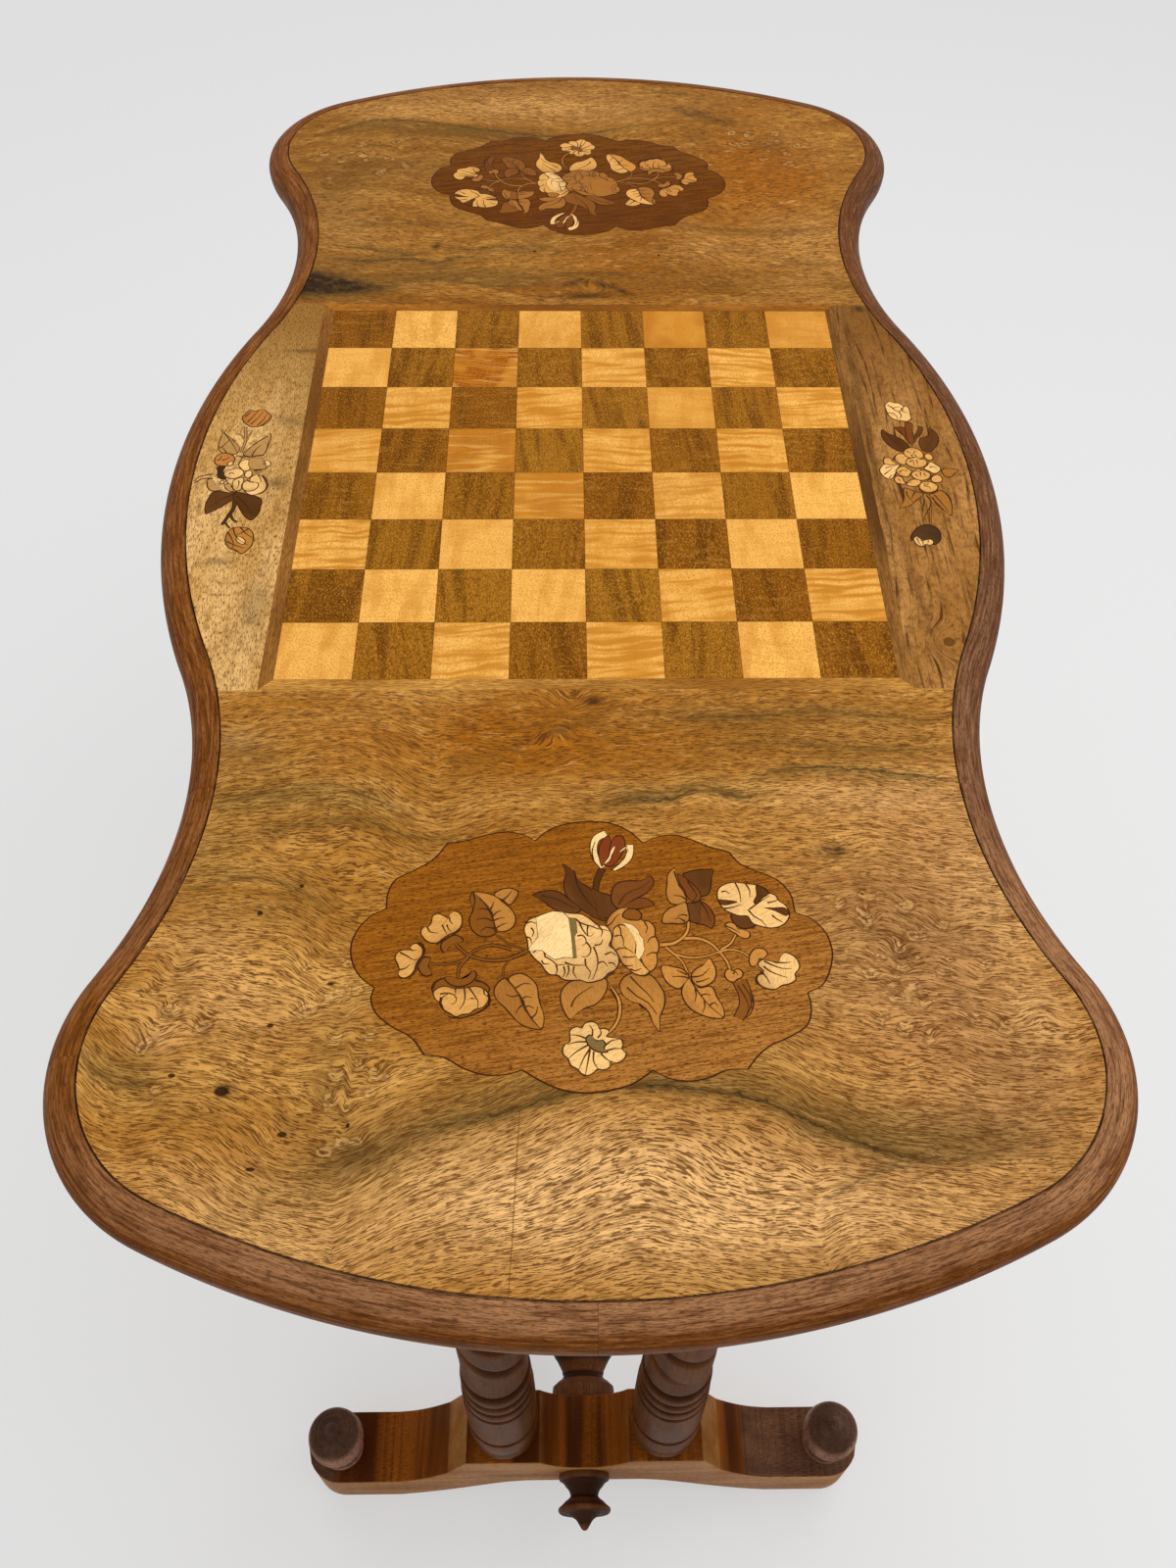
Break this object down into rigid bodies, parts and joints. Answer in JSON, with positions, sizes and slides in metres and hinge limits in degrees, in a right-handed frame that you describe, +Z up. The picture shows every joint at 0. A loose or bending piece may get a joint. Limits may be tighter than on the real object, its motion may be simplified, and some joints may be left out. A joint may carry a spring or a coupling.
{
  "type": "chess table",
  "caption": "Waisted wooden games table with an inlaid chessboard, floral marquetry, twisted columns on shaped feet and a turned stretcher.",
  "frame": {"origin": "on the floor under the middle of the top", "axes": "+X to the right across the table, +Y along its length, +Z up"},
  "size_m": [0.5374, 1.0812, 0.7122],
  "materials": {
    "walnut_turned": "waxed dark walnut, turned and shaped",
    "walnut_moulding": "waxed reddish walnut, worn at the nose",
    "walnut_figured": "golden figured walnut veneer, old wax polish",
    "square_light": "honey coloured striped veneer, old wax polish",
    "square_dark": "brown walnut veneer, old wax polish",
    "border_wood": "straight-grained veneer strip, old wax polish",
    "cartouche_wood": "mahogany coloured veneer, old wax polish",
    "marquetry_wood": "mixed pale, tan and dark veneers, sand-shaded and engraved",
    "pine": "plain sawn and planed pine",
    "screw_steel": "dull steel"
  },
  "bodies": {
    "root": {"bearer_far": "walnut_turned", "bearer_near": "walnut_turned", "bearer_screws": "screw_steel", "border_far": "border_wood", "border_left": "border_wood", "border_near": "border_wood", "border_right": "border_wood", "bouquet_far": "marquetry_wood", "bouquet_near": "marquetry_wood", "cartouche_far": "cartouche_wood", "cartouche_near": "cartouche_wood", "column_far_left": "walnut_turned", "column_far_right": "walnut_turned", "column_near_left": "walnut_turned", "column_near_right": "walnut_turned", "core_board_1": "pine", "core_board_2": "pine", "core_board_3": "pine", "core_board_4": "pine", "dark_squares": "square_dark", "finial_far": "walnut_turned", "finial_near": "walnut_turned", "foot_far": "walnut_turned", "foot_near": "walnut_turned", "knob_far_left": "walnut_turned", "knob_far_right": "walnut_turned", "knob_near_left": "walnut_turned", "knob_near_right": "walnut_turned", "light_squares": "square_light", "moulding_belly_left": "walnut_moulding", "moulding_belly_right": "walnut_moulding", "moulding_end_far_left": "walnut_moulding", "moulding_end_far_right": "walnut_moulding", "moulding_end_near_left": "walnut_moulding", "moulding_end_near_right": "walnut_moulding", "moulding_shoulder_far_left": "walnut_moulding", "moulding_shoulder_far_right": "walnut_moulding", "moulding_shoulder_near_left": "walnut_moulding", "moulding_shoulder_near_right": "walnut_moulding", "spray_left": "marquetry_wood", "spray_right": "marquetry_wood", "stretcher": "walnut_turned", "veneer_far": "walnut_figured", "veneer_left": "walnut_figured", "veneer_near": "walnut_figured", "veneer_right": "walnut_figured"}
  },
  "joints": []
}
